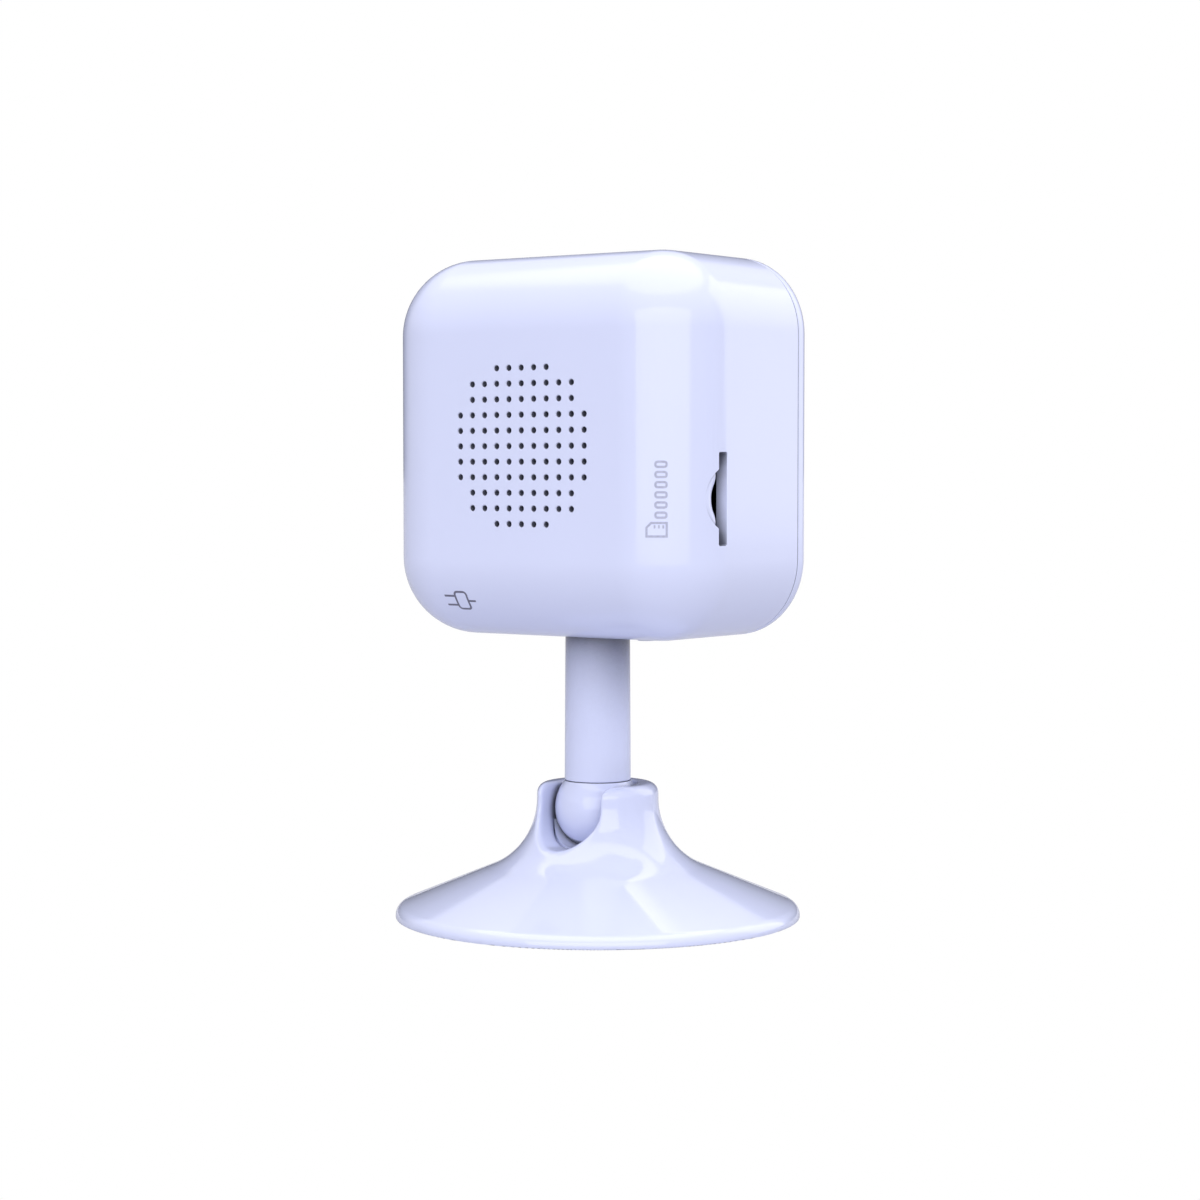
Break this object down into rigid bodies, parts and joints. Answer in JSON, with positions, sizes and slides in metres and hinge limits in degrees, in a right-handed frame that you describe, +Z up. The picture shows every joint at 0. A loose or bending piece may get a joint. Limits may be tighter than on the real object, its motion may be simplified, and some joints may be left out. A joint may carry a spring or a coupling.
{
  "type": "security camera",
  "caption": "Indoor security camera: a rounded head with lens, speaker and card slot on a stem, tilting and turning on a ball joint in a round weighted base.",
  "frame": {"origin": "middle of the base's underside, on the stem's axis", "axes": "+Z up along the stem, -Y the way the lens looks, +Y the notch of the base and the speaker grille, -X the side with the card slot"},
  "size_m": [0.0642, 0.0642, 0.1042],
  "materials": {
    "white_shell": "gloss, a cool white with a faint lilac cast",
    "white_stem": "gloss",
    "white_base": "gloss",
    "black_window": "piano black gloss",
    "lens_metal": "dark anodised, satin",
    "optical_glass": "coated glass",
    "filter_glass": "coated glass",
    "black_plastic": "matte",
    "grey_plastic": "matte",
    "steel": "zinc plated",
    "weight_steel": "raw steel",
    "rubber": "matte",
    "foam": "foam",
    "circuit_board": "solder mask",
    "chip": "moulded epoxy",
    "connector": "matte",
    "polyimide": "film",
    "heat_alloy": "satin",
    "contact_metal": "gold plated",
    "socket_metal": "tin plated",
    "cloth": "fine black mesh",
    "led_amber": "clear epoxy"
  },
  "bodies": {
    "base": {"base_shell": "white_base", "foot_pad": "rubber", "base_plate": "grey_plastic", "base_weight": "weight_steel", "base_screws": "steel", "spring_plate": "steel", "plate_screws": "steel", "cup_spring": "steel", "socket_cup": "white_base"},
    "ball": {"ball": "white_stem", "pivot_screw": "steel"},
    "head": {"stem": "white_stem", "stem_washer": "steel", "stem_nut": "steel", "rear_shell": "white_shell", "front_bezel": "white_shell", "front_window": "black_window", "lens_ring": "lens_metal", "lens_front": "optical_glass", "lens_group": "optical_glass", "lens_barrel": "black_plastic", "lens_holder": "black_plastic", "infrared_filter": "filter_glass", "image_sensor": "chip", "sensor_board": "circuit_board", "sensor_screws": "steel", "chassis": "black_plastic", "chassis_screws": "steel", "infrared_board": "circuit_board", "infrared_leds": "led_amber", "light_sensor": "contact_metal", "status_led": "connector", "microphone": "socket_metal", "microphone_boot": "rubber", "ribbon_cable": "polyimide", "ribbon_connectors": "connector", "main_board": "circuit_board", "main_chips": "chip", "board_screws": "steel", "thermal_pad": "foam", "heat_spreader": "heat_alloy", "card_socket": "socket_metal", "power_socket": "socket_metal", "reset_switch": "black_plastic", "antenna": "polyimide", "speaker_frame": "black_plastic", "speaker_cone": "cloth", "speaker_magnet": "weight_steel", "speaker_gasket": "foam", "speaker_cloth": "cloth", "speaker_contacts": "contact_metal"},
    "reset": {"reset_button": "grey_plastic"}
  },
  "joints": [
    {"name": "stem_tilt", "type": "hinge", "parent": "base", "child": "ball", "pos_m": [0, 0, 0.0174], "axis": [-1, 0, 0], "range_deg": [-5, 85]},
    {"name": "head_turn", "type": "hinge", "parent": "ball", "child": "head", "pos_m": [0, 0, 0.0174], "axis": [0, 0, 1], "range_deg": [-180, 180]},
    {"name": "reset_press", "type": "slide", "parent": "head", "child": "reset", "axis": [0, 0, 1], "range_m": [0, 0.0005], "stiffness_N_per_m": 300, "springref_m": -0.0005}
  ]
}
